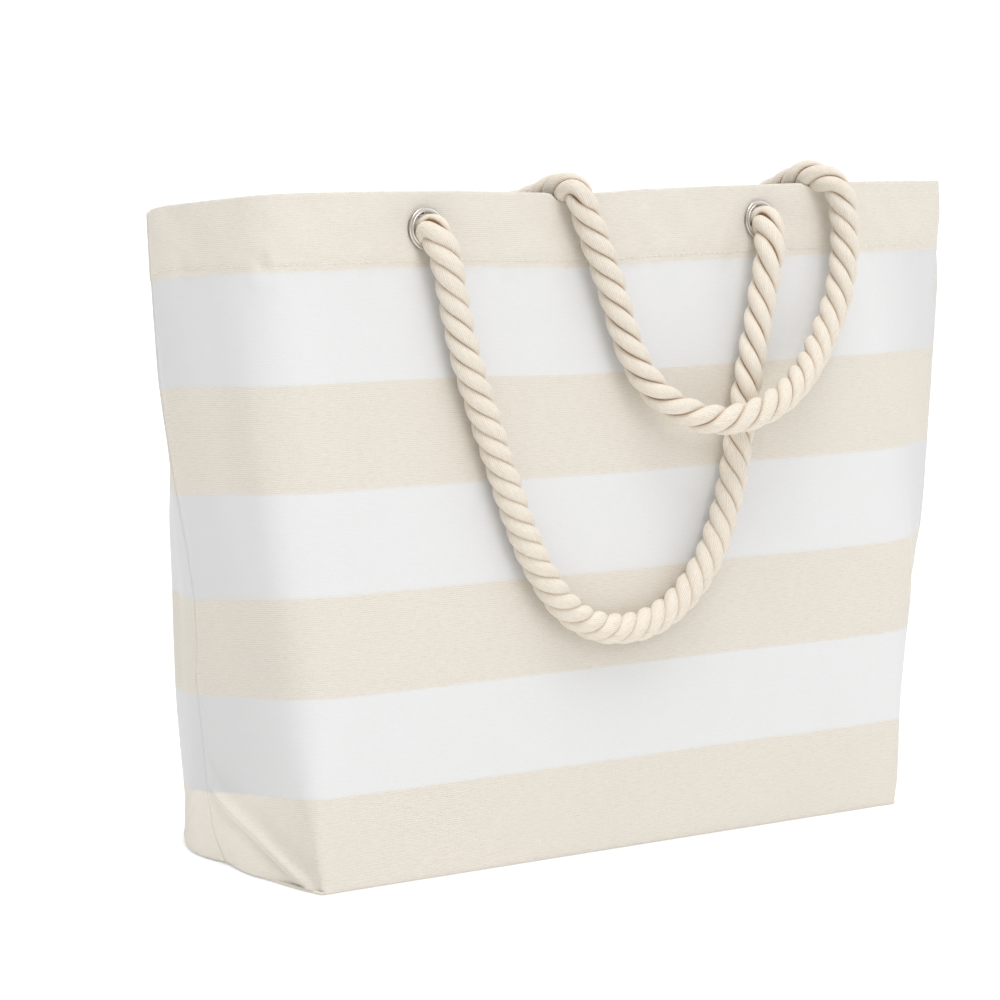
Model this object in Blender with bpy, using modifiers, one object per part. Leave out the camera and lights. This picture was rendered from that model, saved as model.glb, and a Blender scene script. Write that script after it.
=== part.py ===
"""Canvas tote bag with four eyelets and two rope handles.

The bag is two canvas panels. Each is one wall, half of each side gusset and
half of the base, with a turned-in hem at the rim. They meet at the side seams,
at the boxed corners and along the middle of the base. The front handle swings
about its two eyelets. The rear handle comes over both rims, hangs in front and
swings about the line where it leaves the front rim. Metres, +Z up; the front
faces -Y.
"""
import math

import bmesh
import bpy
from mathutils import Matrix, Vector

# Driving dimensions of the bag
BASE = 0.384                    # base edge, corner to corner
DEPTH = 0.170                   # front to back at the base
HEIGHT = 0.350                  # base edge to rim, along the cloth
HALF = DEPTH / 2                # half a side gusset, and half the base
WIDTH = BASE + DEPTH            # one panel, seam to seam
CANVAS = 0.001                  # cloth thickness
HEM = 0.034                     # depth of the turned-in hem, two layers of cloth
FOLD = 0.006                    # roundness of the fold between wall and base
CORNER_SOFTNESS = 0.026         # how much rounder the corners get up to the rim
KNUCKLE_SOFTNESS = 0.010        # the same at the back panel's bend
FRONT_BELLY = 0.004             # how far the left gusset bulges at the base
BACK_BELLY = 0.010
BELLY_FADE = 10                 # power by which the bulge dies away up the wall
SLOT = 0.0035                   # the side walls end this far above the base
GAP = 0.0004                    # between pieces that touch
MIDDLE_GAP = 0.0004             # from the base's middle line to each panel
LEFT_GAP = 0.0008               # from a side seam's line to each panel's edge
RIGHT_GAP = 0.0013

# Eyelets, ropes and tapes
EYELET_DROP = 0.018             # rim to eyelet centre
EYELET_HOLE = 0.0087            # radius of the opening
EYELET_WALL = 0.0006
EYELET_RIM = 0.0110             # radius of the flange
ROPE_R = 0.008                  # rope radius
KNOT_R = 0.015                  # stopper knot radius
TAPE = 0.0016                   # seam tape thickness
SIDE_TAPE = 0.009               # widths of the tapes
CORNER_TAPE = 0.010
BOTTOM_TAPE = 0.012
SPACING = 0.016                 # between points of a rope's spline
END_SPACING = 0.006             # the same on the short rope ends
GUSSET_STEP = 0.028             # between mesh columns and rows of the canvas
COLUMN_STEP = 0.032
ROW_STEP = 0.042
HEM_STEP = 0.011

# Eyelet centres, as places along each rim measured from the left seam
FRONT_EYELETS = {"left": 0.177, "right": 0.395}
BACK_EYELETS = {"left": 0.194, "right": 0.425}

# The outline at four heights (base, about a third, two thirds, rim). Each side
# is a list of places along the panel, from the left seam, with (x, y, z) there.
LEVELS = (0.0, 0.35, 0.7, 1.0)
LEFT_SEAM = (
    (-0.1935, 0.000, 0.0), (-0.2092, 0.010, 0.1222),
    (-0.2205, 0.018, 0.2435), (-0.2230, 0.0275, 0.3385))
RIGHT_SEAM = (
    (0.1920, 0.000, 0.0), (0.2465, -0.023, 0.1222),
    (0.2585, -0.037, 0.2440), (0.2585, -0.0400, 0.3478))
FRONT_LEFT = (
    (-0.1920, -0.085, 0.0), (-0.1975, -0.0745, 0.1224),
    (-0.2020, -0.0640, 0.2445), (-0.2060, -0.0565, 0.3470))
FRONT_RIGHT = (
    (0.1920, -0.085, 0.0), (0.2055, -0.0757, 0.1224),
    (0.1970, -0.0625, 0.2447), (0.1880, -0.0510, 0.3490))
BACK_LEFT = (
    (-0.1780, 0.076, 0.0), (-0.1830, 0.0755, 0.1215),
    (-0.1720, 0.0790, 0.2410), (-0.1600, 0.0800, 0.3380))
BACK_KNUCKLE = (
    (-0.0470, 0.085, 0.0), (-0.0470, 0.0640, 0.1220),
    (-0.0460, 0.0300, 0.2390), (-0.0450, -0.0080, 0.3350))
BACK_RIGHT = (
    (0.1920, 0.085, 0.0), (0.1880, 0.0520, 0.1222),
    (0.1880, 0.0240, 0.2400), (0.1900, -0.0060, 0.3360))
KNUCKLE = 0.230                 # place of the back panel's bend

# Where the rear handle presses the rims down: place, depth
FRONT_DIPS = ((0.2665, 0.0105), (0.4335, 0.0085))
BACK_DIPS = ((0.2450, 0.0105), (0.4270, 0.0085))
DIP_WIDTH = 0.016
DIP_REACH = 0.030               # how far down the panel a dip fades

# The two lines that the handles swing about (both along X)
FRONT_AXIS = Vector((0.0, -0.0680, 0.3322))
REAR_AXIS = Vector((0.0, -0.0655, 0.3465))
REAR_PIVOTS = {"left": -0.0180, "right": 0.1560}
PIVOT_GAP = 0.0089              # from a front pivot to the fixed rope that meets it
REAR_PIVOT_GAP = 0.0118         # the same at the rear, where the fixed rope rises

# Rope routes between the pivots, (x, y, z) along the rope's middle
FRONT_ROUTE = (
    (-0.1060, -0.0685, 0.3130), (-0.1015, -0.0700, 0.2900), (-0.0965, -0.0720, 0.2670),
    (-0.0890, -0.0742, 0.2417), (-0.0805, -0.0766, 0.2160), (-0.0740, -0.0783, 0.1960),
    (-0.0670, -0.0801, 0.1760), (-0.0580, -0.0819, 0.1560), (-0.0455, -0.0836, 0.1370),
    (-0.0300, -0.0846, 0.1240), (-0.0110, -0.0851, 0.1180), (0.0100, -0.0851, 0.1185),
    (0.0290, -0.0846, 0.1255), (0.0450, -0.0835, 0.1375), (0.0580, -0.0823, 0.1530),
    (0.0680, -0.0805, 0.1720), (0.0745, -0.0791, 0.1880), (0.0795, -0.0775, 0.2060),
    (0.0840, -0.0760, 0.2240), (0.0890, -0.0744, 0.2420), (0.0945, -0.0726, 0.2610),
    (0.1000, -0.0710, 0.2790), (0.1055, -0.0696, 0.2970), (0.1110, -0.0686, 0.3150))
REAR_ROUTE = (
    (-0.0155, -0.0665, 0.3400), (-0.0100, -0.0675, 0.3250), (-0.0042, -0.0688, 0.3075),
    (0.0015, -0.0705, 0.2900), (0.0065, -0.0725, 0.2720), (0.0135, -0.0748, 0.2550),
    (0.0240, -0.0785, 0.2400), (0.0378, -0.0840, 0.2300), (0.0540, -0.0900, 0.2250),
    (0.0730, -0.0940, 0.2262), (0.0930, -0.0936, 0.2325), (0.1130, -0.0880, 0.2425),
    (0.1310, -0.0800, 0.2545), (0.1450, -0.0745, 0.2690), (0.1545, -0.0720, 0.2840),
    (0.1600, -0.0703, 0.3000), (0.1622, -0.0690, 0.3160), (0.1610, -0.0673, 0.3340))
# From each rear pivot over both rims to just outside its eyelet
REAR_LEAD = {
    "left": ((-0.0195, -0.0500, 0.3484), (-0.0215, -0.0400, 0.3448), (-0.0250, -0.0250, 0.3395),
             (-0.0295, -0.0080, 0.3362), (-0.0355, 0.0080, 0.3342), (-0.0440, 0.0200, 0.3300),
             (-0.0540, 0.0250, 0.3240)),
    "right": ((0.1500, -0.0510, 0.3530), (0.1495, -0.0400, 0.3520), (0.1490, -0.0250, 0.3470),
              (0.1480, -0.0080, 0.3400), (0.1470, 0.0050, 0.3350)),
}


# ------------------------------------------------------------------ helpers

def clear_scene():
    for obj in list(bpy.data.objects):
        bpy.data.objects.remove(obj, do_unlink=True)


def new_collection(name):
    collection = bpy.data.collections.new(name)
    bpy.context.scene.collection.children.link(collection)
    return collection


def make_material(name, colour, roughness, metallic=0.0):
    material = bpy.data.materials.new(name)
    material.use_nodes = True
    shader = material.node_tree.nodes["Principled BSDF"]
    shader.inputs["Base Color"].default_value = (*colour, 1.0)
    shader.inputs["Roughness"].default_value = roughness
    shader.inputs["Metallic"].default_value = metallic
    return material


def add_object(name, data, collection, material, parent):
    obj = bpy.data.objects.new(name, data)
    collection.objects.link(obj)
    obj.parent = parent
    data.materials.append(material)
    return obj


def solidify(obj, thickness, offset=0.0):
    modifier = obj.modifiers.new("Thickness", "SOLIDIFY")
    modifier.thickness = thickness
    modifier.offset = offset
    modifier.use_even_offset = True
    return modifier


def spread(start, stop, step):
    """Evenly spaced values from start to stop, about a step apart."""
    count = max(1, round((stop - start) / step))
    return [start + (stop - start) * i / count for i in range(count + 1)]


def smooth_route(points, spacing):
    """Points a spacing apart on a smooth (Catmull-Rom) curve through the route."""
    route = [Vector(p) for p in points]
    route = [2 * route[0] - route[1], *route, 2 * route[-1] - route[-2]]
    fine = []
    for a, b, c, d in zip(route, route[1:], route[2:], route[3:]):
        for i in range(12):
            u = i / 12
            fine.append(0.5 * (2 * b + (c - a) * u + (2 * a - 5 * b + 4 * c - d) * u ** 2
                               + (3 * b - a - 3 * c + d) * u ** 3))
    fine.append(route[-2])
    lengths = [0.0]
    for a, b in zip(fine, fine[1:]):
        lengths.append(lengths[-1] + (b - a).length)
    out = []
    k = 0
    for place in spread(0.0, lengths[-1], spacing):
        while k < len(fine) - 2 and lengths[k + 1] < place:
            k += 1
        share = (place - lengths[k]) / (lengths[k + 1] - lengths[k])
        out.append(fine[k].lerp(fine[k + 1], min(1.0, share)))
    return out


# ------------------------------------------------------------------ outline

def shifted(course, dy):
    return [(x, y + dy, z) for x, y, z in course]


FRONT = (
    (0.0, shifted(LEFT_SEAM, -LEFT_GAP)), (HALF, FRONT_LEFT),
    (HALF + BASE, FRONT_RIGHT), (WIDTH, shifted(RIGHT_SEAM, -RIGHT_GAP)))
BACK = (
    (0.0, shifted(LEFT_SEAM, LEFT_GAP)), (HALF, BACK_LEFT), (KNUCKLE, BACK_KNUCKLE),
    (HALF + BASE, BACK_RIGHT), (WIDTH, shifted(RIGHT_SEAM, RIGHT_GAP)))


def at_level(course, t):
    """Smooth (cubic) course of one outline point, t from base (0) to rim (1)."""
    out = Vector((0, 0, 0))
    for i, point in enumerate(course):
        weight = 1.0
        for j, level in enumerate(LEVELS):
            if j != i:
                weight *= (t - level) / (LEVELS[i] - level)
        out += weight * Vector(point)
    return out


def ramp(x, radius):
    """0 before a corner, x after it, with a smooth turn within the radius."""
    if x <= -radius:
        return 0.0
    if x >= radius:
        return x
    return (x + radius) ** 2 / (4 * radius)


def belly(side, share):
    """How far the left gusset bulges, share of the way from seam to corner."""
    depth = FRONT_BELLY if side is FRONT else BACK_BELLY
    return depth * 4 * share * (1 - share) if 0 < share < 1 else 0.0


def wall(side, dips, s, t):
    """Point on a panel's wall, s along its width and t up its height."""
    for place, depth in dips:
        fade = math.exp(-(1 - t) * HEIGHT / DIP_REACH)
        t -= depth / HEIGHT * fade * math.exp(-((s - place) / DIP_WIDTH) ** 2)
    places = [place for place, _ in side]
    points = [at_level(course, t) for _, course in side]
    legs = [(b - a) / (q - p) for a, b, p, q in zip(points, points[1:], places, places[1:])]
    out = points[0] + legs[0] * s
    for k in range(1, len(legs)):
        radius = FOLD + (KNUCKLE_SOFTNESS if places[k] == KNUCKLE else CORNER_SOFTNESS) * t
        out += (legs[k] - legs[k - 1]) * ramp(s - places[k], radius)
    out.x -= belly(side, s / HALF) * max(0.0, 1 - t) ** BELLY_FADE
    out.z += CANVAS / 2
    return out


def cloth(side, dips, s, reach):
    """Point on a panel, reach along the cloth from the base's middle line."""
    inward = min(s - HALF, HALF + BASE - s)
    share = max(0.0, min(1.0, inward / 0.020))
    radius = max(1e-6, FOLD * share * share * (3 - 2 * share))
    up = ramp(reach - HALF, radius)
    back = ramp(HALF - reach, radius)
    edge = wall(side, dips, s, 0.0)
    middle = Vector((s - HALF - BASE / 2, 0.0, edge.z))
    point = wall(side, dips, s, up / HEIGHT) + (middle - edge) * back / HALF
    point.x -= belly(side, 1 - back / HALF) * (1 - (s - HALF) / BASE) ** BELLY_FADE
    return point


def slopes(side, dips, s, t):
    """Directions along the width and up the wall at a point of it."""
    step = 0.004
    across = wall(side, dips, s + step, t) - wall(side, dips, s - step, t)
    along = wall(side, dips, s, t + step) - wall(side, dips, s, t - step)
    return across, along


def outward_normal(side, dips, s, t, outward):
    across, along = slopes(side, dips, s, t)
    return (across.cross(along) * outward).normalized()


def rim_frame(side, dips, s, outward):
    """Matrix at an eyelet: origin on the cloth, Z out of the bag, Y up it."""
    t = 1 - EYELET_DROP / HEIGHT
    along = slopes(side, dips, s, t)[1]
    normal = outward_normal(side, dips, s, t, outward)
    up = (along - normal * along.dot(normal)).normalized()
    matrix = Matrix((up.cross(normal), up, normal)).transposed().to_4x4()
    matrix.translation = wall(side, dips, s, t)
    return matrix


# ------------------------------------------------------------------- canvas

def column_places(side, dips, eyelets):
    """Places of the mesh columns, closer together at bends and dips."""
    places = spread(0.0, HALF, GUSSET_STEP) + spread(HALF, HALF + BASE, COLUMN_STEP)
    places += spread(HALF + BASE, WIDTH, GUSSET_STEP)
    wanted = [HALF - 0.008, HALF + 0.008, HALF + BASE - 0.008, HALF + BASE + 0.008]
    for place, _ in dips:
        wanted += spread(place - 0.024, place + 0.024, 0.008)
    for place in eyelets.values():
        wanted += [place - 0.014, place + 0.014]
    if side is BACK:
        wanted += spread(KNUCKLE - 0.012, KNUCKLE + 0.012, 0.008)
    fixed = [0.0, HALF, HALF + BASE, WIDTH]
    for candidate in sorted(wanted) + sorted(places):
        if all(abs(candidate - other) > 0.005 for other in fixed):
            fixed.append(candidate)
    return sorted(fixed)


def row_places():
    """Places of the mesh rows, along the cloth from the base's middle line."""
    flap = [MIDDLE_GAP, 0.030, 0.058, HALF - FOLD, HALF - FOLD / 2, HALF]
    low = [HALF + SLOT, HALF + FOLD, HALF + 0.025]
    hem = HALF + HEIGHT - HEM
    walls = spread(HALF + 0.060, hem - 0.001, ROW_STEP)
    return flap + low + walls + spread(hem, HALF + HEIGHT, HEM_STEP)


def make_panel(name, side, dips, eyelets, outward, collection, material, parent):
    """One canvas panel: a sheet folded at the base, thicker along its hem."""
    columns = column_places(side, dips, eyelets)
    rows = row_places()
    first_wall_row = rows.index(HALF + SLOT)
    hem_start = HALF + HEIGHT - HEM - 1e-6
    mesh = bpy.data.meshes.new(name)
    sheet = bmesh.new()
    grid = {}

    def vertex(i, j):
        if (i, j) not in grid:
            grid[i, j] = sheet.verts.new(cloth(side, dips, columns[i], rows[j]))
        return grid[i, j]

    for j in range(len(rows) - 1):
        for i in range(len(columns) - 1):
            over_base = HALF - 1e-9 <= columns[i] and columns[i + 1] <= HALF + BASE + 1e-9
            if over_base or j >= first_wall_row:
                corners = [vertex(i, j), vertex(i + 1, j), vertex(i + 1, j + 1), vertex(i, j + 1)]
                sheet.faces.new(corners if outward > 0 else corners[::-1])
    order = {key: index for index, key in enumerate(grid)}
    sheet.to_mesh(mesh)
    sheet.free()
    panel = add_object(name, mesh, collection, material, parent)
    group = panel.vertex_groups.new(name="hem")
    group.add([order[i, j] for i, j in grid if rows[j] > hem_start], 1.0, "REPLACE")
    thickness = solidify(panel, 2 * CANVAS)
    thickness.vertex_group = "hem"
    thickness.thickness_vertex_group = 0.5
    return panel


def cut_eyelet_holes(panel, frames, cutters):
    for label, frame in frames.items():
        mesh = bpy.data.meshes.new("hole")
        shape = bmesh.new()
        radius = EYELET_HOLE + EYELET_WALL + GAP
        bmesh.ops.create_cone(shape, cap_ends=True, segments=24, radius1=radius, radius2=radius, depth=0.012)
        shape.to_mesh(mesh)
        shape.free()
        cutter = bpy.data.objects.new(f"{panel.name}_hole_{label}", mesh)
        cutters.objects.link(cutter)
        cutter.parent = panel.parent
        cutter.matrix_local = frame
        cutter.hide_render = True
        cutter.display_type = "WIRE"
        cut = panel.modifiers.new(f"Hole {label}", "BOOLEAN")
        cut.operation = "DIFFERENCE"
        cut.object = cutter


# -------------------------------------------------------------------- tapes

def make_strip(name, lower, upper, collection, material, parent):
    """A tape between two rows of points."""
    mesh = bpy.data.meshes.new(name)
    strip = bmesh.new()
    low = [strip.verts.new(p) for p in lower]
    high = [strip.verts.new(p) for p in upper]
    for i in range(len(low) - 1):
        strip.faces.new((low[i], low[i + 1], high[i + 1], high[i]))
    strip.to_mesh(mesh)
    strip.free()
    obj = add_object(name, mesh, collection, material, parent)
    solidify(obj, TAPE)
    return obj


def make_side_tape(name, seam, inward, start, collection, material, parent):
    """The bound seam allowance that stands inwards along a side seam."""
    levels = spread(0.045, 0.985, 0.1)
    lower, upper = [], []
    for t in levels:
        line = at_level(seam, t)
        direction = Vector((inward[0], inward[1] * t, 0)).normalized()
        first = start[0] + (start[1] - start[0]) * t
        lower.append(line + direction * first)
        upper.append(line + direction * (first + SIDE_TAPE))
    return make_strip(name, lower, upper, collection, material, parent)


def make_corner_tape(name, side_sign, collection, material, parent):
    """The bound seam across a boxed corner, just above the base."""
    inset = CANVAS / 2 + 3 * GAP + TAPE / 2
    thirds = (HALF / 3, 2 * HALF / 3)
    edges = []
    for height in (CANVAS + GAP, CANVAS + GAP + CORNER_TAPE):
        edge = []
        for side, places in ((FRONT, (thirds[1], thirds[0], 0.004)), (BACK, (0.004, *thirds, 0.072))):
            for place in places:
                s = place if side_sign < 0 else WIDTH - place
                normal = outward_normal(side, (), s, height / HEIGHT, 1 if side is FRONT else -1)
                edge.append(wall(side, (), s, height / HEIGHT) - normal * inset)
        edges.append(edge)
    return make_strip(name, edges[0], edges[1], collection, material, parent)


def make_bottom_tape(collection, material, parent):
    """The bound seam along the middle of the base."""
    mesh = bpy.data.meshes.new("bottom_seam_tape")
    box = bmesh.new()
    bmesh.ops.create_cube(box, size=1.0)
    bmesh.ops.scale(box, vec=(BASE - 0.030, BOTTOM_TAPE, TAPE), verts=box.verts)
    box.to_mesh(mesh)
    box.free()
    tape = add_object("bottom_seam_tape", mesh, collection, material, parent)
    tape.location = (0.004, 0.0, CANVAS + GAP + TAPE / 2)
    bevel = tape.modifiers.new("Rounded edges", "BEVEL")
    bevel.width = 0.0004
    bevel.segments = 1
    return tape


# ------------------------------------------------------------------ eyelets

def turn(name, profile, collection, material, parent, matrix):
    """A closed profile in the XZ plane, turned about Z."""
    mesh = bpy.data.meshes.new(name)
    mesh.from_pydata([(r, 0, z) for r, z in profile],
                     [(i, (i + 1) % len(profile)) for i in range(len(profile))], [])
    obj = add_object(name, mesh, collection, material, parent)
    obj.matrix_local = matrix
    screw = obj.modifiers.new("Turned", "SCREW")
    screw.steps = screw.render_steps = 20
    screw.use_merge_vertices = True
    screw.merge_threshold = 0.00001
    screw.use_smooth_shade = True
    return obj


def make_eyelet(label, frame, collection, material, parent):
    """The eyelet's domed flange and barrel, and the washer behind the hem."""
    face = CANVAS + GAP
    hole, barrel = EYELET_HOLE, EYELET_HOLE + EYELET_WALL
    flange = [
        (EYELET_RIM, face + 0.0005), (EYELET_RIM, face), (barrel, face), (barrel, -face - 0.0016),
        (hole, -face - 0.0016), (hole, face + 0.0008), (hole + 0.0005, face + 0.0013),
        (hole + 0.0013, face + 0.0014), (hole + 0.0020, face + 0.0011)]
    washer = [
        (EYELET_RIM, -face), (EYELET_RIM, -face - 0.0005), (EYELET_RIM - 0.0004, -face - 0.0009),
        (barrel + GAP, -face - 0.0009), (barrel + GAP, -face)]
    turn(f"eyelet_{label}", flange, collection, material, parent, frame)
    turn(f"washer_{label}", washer, collection, material, parent, frame)


# -------------------------------------------------------------------- ropes

def make_rope(name, points, sizes, collection, material, parent):
    """A rope as a tube; each point has its own share of the full radius."""
    curve = bpy.data.curves.new(name, "CURVE")
    curve.dimensions = "3D"
    curve.bevel_depth = ROPE_R
    curve.bevel_resolution = 3
    curve.use_fill_caps = True
    spline = curve.splines.new("POLY")
    spline.points.add(len(points) - 1)
    for point, place, size in zip(spline.points, points, sizes):
        point.co = (*place, 1.0)
        point.radius = size
    return add_object(name, curve, collection, material, parent)


def rounded_end(pivot, following):
    """Points and sizes that round a rope off about its pivot."""
    away = (pivot - following).normalized() * ROPE_R
    shares = (0.985, 0.87, 0.60, 0.28)
    return [pivot + away * share for share in shares], [math.sqrt(1 - share ** 2) for share in shares]


def make_handle(name, axis, pivots, route, collection, material, parent):
    """A hanging handle between its two pivots, with its origin on its axis."""
    hinge = bpy.data.objects.new(f"{name}_hinge", None)
    collection.objects.link(hinge)
    hinge.parent = parent
    hinge.location = axis
    ends = [Vector((x, axis.y, axis.z)) for x in pivots]
    points = [p - axis for p in smooth_route([ends[0], *route, ends[1]], SPACING)]
    head, head_sizes = rounded_end(points[0], points[1])
    tail, tail_sizes = rounded_end(points[-1], points[-2])
    sizes = head_sizes + [1.0] * len(points) + tail_sizes[::-1]
    return make_rope(name, head + points + tail[::-1], sizes, collection, material, hinge)


def knot_points(frame, drop, drift):
    """Rope through an eyelet, a stopper knot inside it, and a short tail."""
    local = [(0, 0, -0.0040, 1.0), (0, 0, -0.0062, 1.10), (0, 0, -0.0080, 1.55),
             (0, 0, -0.0115, 1.0 * KNOT_R / ROPE_R), (0, 0, -0.0200, 1.0 * KNOT_R / ROPE_R),
             (0, 0, -0.0250, 1.60), (0, -0.0004, -0.0285, 1.10), (drift * 0.3, -0.0020, -0.0330, 1.0),
             (drift, -drop * 0.5, -0.0365, 0.95), (drift * 1.5, -drop, -0.0385, 0.95)]
    points = [frame @ Vector(entry[:3]) for entry in local]
    return points, [entry[3] for entry in local]


def make_front_end(label, frame, collection, material, parent):
    """The front rope's end: out of its eyelet as far as the pivot."""
    pivot = Vector((frame.translation.x, FRONT_AXIS.y, FRONT_AXIS.z))
    reach = (pivot - frame.translation).dot(frame.to_3x3().col[2]) - PIVOT_GAP
    start = frame @ Vector((0, 0, reach))
    knot, sizes = knot_points(frame, 0.030, -0.004 if label == "left" else 0.004)
    return make_rope(f"front_rope_end_{label}", [start, *knot], [1.0, *sizes],
                     collection, material, parent)


def make_rear_end(label, frame, collection, material, parent):
    """The rear rope's end: from its pivot over both rims and into its eyelet."""
    pivot = Vector((REAR_PIVOTS[label], REAR_AXIS.y, REAR_AXIS.z))
    first = Vector(REAR_LEAD[label][0])
    start = pivot + (first - pivot).normalized() * REAR_PIVOT_GAP
    exits = [frame @ Vector((0, 0, 0.0110)), frame @ Vector((0, 0, 0.0040)), frame.translation]
    lead = smooth_route([start, *REAR_LEAD[label], *exits], END_SPACING)
    knot, sizes = knot_points(frame, 0.024, 0.003 if label == "left" else -0.003)
    return make_rope(f"rear_rope_end_{label}", [*lead, *knot], [1.0] * len(lead) + sizes,
                     collection, material, parent)


# -------------------------------------------------------------------- build

def stand_on_origin(root, collection):
    """Put the bag without its ropes on the origin, middle of its box."""
    bpy.context.view_layer.update()
    depsgraph = bpy.context.evaluated_depsgraph_get()
    corners = []
    for obj in collection.objects:
        if obj.type == "MESH":
            seen = obj.evaluated_get(depsgraph)
            corners += [seen.matrix_world @ Vector(corner) for corner in seen.bound_box]
    low = [min(c[i] for c in corners) for i in range(3)]
    high = [max(c[i] for c in corners) for i in range(3)]
    root.location = (-(low[0] + high[0]) / 2, -(low[1] + high[1]) / 2, -low[2])


def main():
    clear_scene()
    parts = new_collection("canvas_tote_bag")
    cutters = new_collection("cutters")
    canvas = make_material("canvas", (0.80, 0.74, 0.64), 0.90)
    tape = make_material("cotton_tape", (0.84, 0.79, 0.70), 0.92)
    metal = make_material("nickel", (0.72, 0.71, 0.69), 0.25, 1.0)
    cotton = make_material("cotton_rope", (0.86, 0.79, 0.69), 0.88)
    root = bpy.data.objects.new("bag_origin", None)
    parts.objects.link(root)
    front_pivots = []

    for name, side, dips, eyelets, outward in (
            ("front", FRONT, FRONT_DIPS, FRONT_EYELETS, 1),
            ("back", BACK, BACK_DIPS, BACK_EYELETS, -1)):
        frames = {label: rim_frame(side, dips, place, outward) for label, place in eyelets.items()}
        panel = make_panel(f"{name}_panel", side, dips, eyelets, outward, parts, canvas, root)
        cut_eyelet_holes(panel, frames, cutters)
        for label, frame in frames.items():
            make_eyelet(f"{name}_{label}", frame, parts, metal, root)
            if name == "front":
                make_front_end(label, frame, parts, cotton, root)
                front_pivots.append(frame.translation.x)
            else:
                make_rear_end(label, frame, parts, cotton, root)

    make_side_tape("left_seam_tape", LEFT_SEAM, (1.0, -0.35), (0.0018, 0.0022), parts, tape, root)
    make_side_tape("right_seam_tape", RIGHT_SEAM, (-1.0, 0.05), (0.0018, 0.0100), parts, tape, root)
    make_corner_tape("left_corner_tape", -1, parts, tape, root)
    make_corner_tape("right_corner_tape", 1, parts, tape, root)
    make_bottom_tape(parts, tape, root)

    make_handle("front_handle", FRONT_AXIS, front_pivots, FRONT_ROUTE, parts, cotton, root)
    make_handle("rear_handle", REAR_AXIS, REAR_PIVOTS.values(), REAR_ROUTE, parts, cotton, root)
    stand_on_origin(root, parts)


main()
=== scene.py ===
"""Canvas tote bag: the looks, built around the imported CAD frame.

Metres, +Z up, the front faces -Y. The outline functions repeat those of the
CAD, finer and with the cloth's own creases, hem, seams and stitches.
"""

import math

import bpy
import numpy as np
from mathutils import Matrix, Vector

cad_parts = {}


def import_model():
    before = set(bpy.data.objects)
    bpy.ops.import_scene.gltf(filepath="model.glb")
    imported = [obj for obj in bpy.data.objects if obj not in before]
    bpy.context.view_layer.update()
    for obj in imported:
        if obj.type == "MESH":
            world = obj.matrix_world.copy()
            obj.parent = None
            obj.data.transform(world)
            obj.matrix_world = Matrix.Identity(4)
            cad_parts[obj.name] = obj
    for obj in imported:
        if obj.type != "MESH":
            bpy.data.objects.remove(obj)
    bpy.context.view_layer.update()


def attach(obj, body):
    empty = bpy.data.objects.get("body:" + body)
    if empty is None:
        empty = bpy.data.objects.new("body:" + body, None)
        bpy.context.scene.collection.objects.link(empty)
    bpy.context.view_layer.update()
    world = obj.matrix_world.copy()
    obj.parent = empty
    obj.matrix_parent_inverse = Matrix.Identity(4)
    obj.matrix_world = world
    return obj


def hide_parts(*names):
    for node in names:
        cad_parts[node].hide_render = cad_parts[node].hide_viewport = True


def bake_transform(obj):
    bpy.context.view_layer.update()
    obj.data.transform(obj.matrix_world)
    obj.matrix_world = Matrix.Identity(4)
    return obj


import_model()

# ---- dimensions


def metres(*values):
    """From tenths of a millimetre; for numbers, or tuples of them."""
    return tuple(metres(*v) if isinstance(v, tuple) else v / 10000 for v in values)


BASE, DEPTH, HEIGHT = 0.384, 0.170, 0.350
HALF = DEPTH / 2
WIDTH = BASE + DEPTH
FAR = HALF + BASE  # the right corner's place along the width, as HALF is the left one's
HEM = 0.038  # depth of the turned-in hem
STITCH_AT = HEIGHT - 0.0355  # how high the hem's stitches are
CLOTH = 0.0009  # thickness of one layer
FOLD = 0.0016  # roundness of the fold at the base
CORNER_SOFTNESS, BACK_LEFT_SOFTNESS, KNUCKLE_SOFTNESS = 0.024, 0.012, 0.010
SOFT_FROM = 0.30  # share of the height by which the corners are fully soft
FRONT_BELLY, BACK_BELLY, BELLY_FADE = 0.003, 0.009, 10
TUCK = 0.0118  # cloth drawn under the base at the left side seam
BACK_TUCK = 0.0045  # and further round, at the back corner
ALLOWANCE = 0.009  # seam allowance turned in at the side seams
SEAM_HALF = 0.0005  # from a seam's line to the middle of each layer
SEAM_TURN = 0.0008  # roundness of the turn at a side seam
CREASE_TOP, CREASE_SLOPE = 0.0418, 0.537  # the boxed corner's crease, down from the seam
CREASE_COS = 0.881  # of its slope's angle
STEP, FINE_STEP = 0.0031, 0.0012  # spacing of the cloth's points, plain and in the gussets
SHIFT = np.array((-0.01739, 0.00022, 0.0))  # the outline's own origin, in the row frame

EYELET_DROP = 0.0190  # from the rim down to an eyelet's middle
CUT_R = 0.0094  # the hole cut in the cloth for it
PATCH, PATCH_STEP = 0.0126, 0.0014  # half width and spacing of the finer cloth round it
FRONT_EYELETS = {"left": 0.1786, "right": 0.3960}
BACK_EYELETS = {"left": 0.194, "right": 0.425}

LAY = 0.0385  # rope length in which a strand goes once round
# How long a turn is against that, at shares of the way along each rope
FRONT_LAY = ((0, 0.96), (0.18, 0.99), (0.29, 0.86), (0.50, 0.82),
             (0.66, 0.92), (0.78, 1.08), (1, 1.14))
REAR_LAY = ((0, 1.0), (0.20, 1.0), (0.30, 1.12), (0.42, 1.12),
            (0.52, 1.0), (0.70, 1.03), (1, 1.0))
STRAND_R = 0.0042  # half a strand's thickness
STRAND_PATH = 0.00402  # from the rope's middle to a strand's middle
RING_STEP = 0.0013  # between the rings of a rope's mesh
THREAD_R = 0.00022

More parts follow.
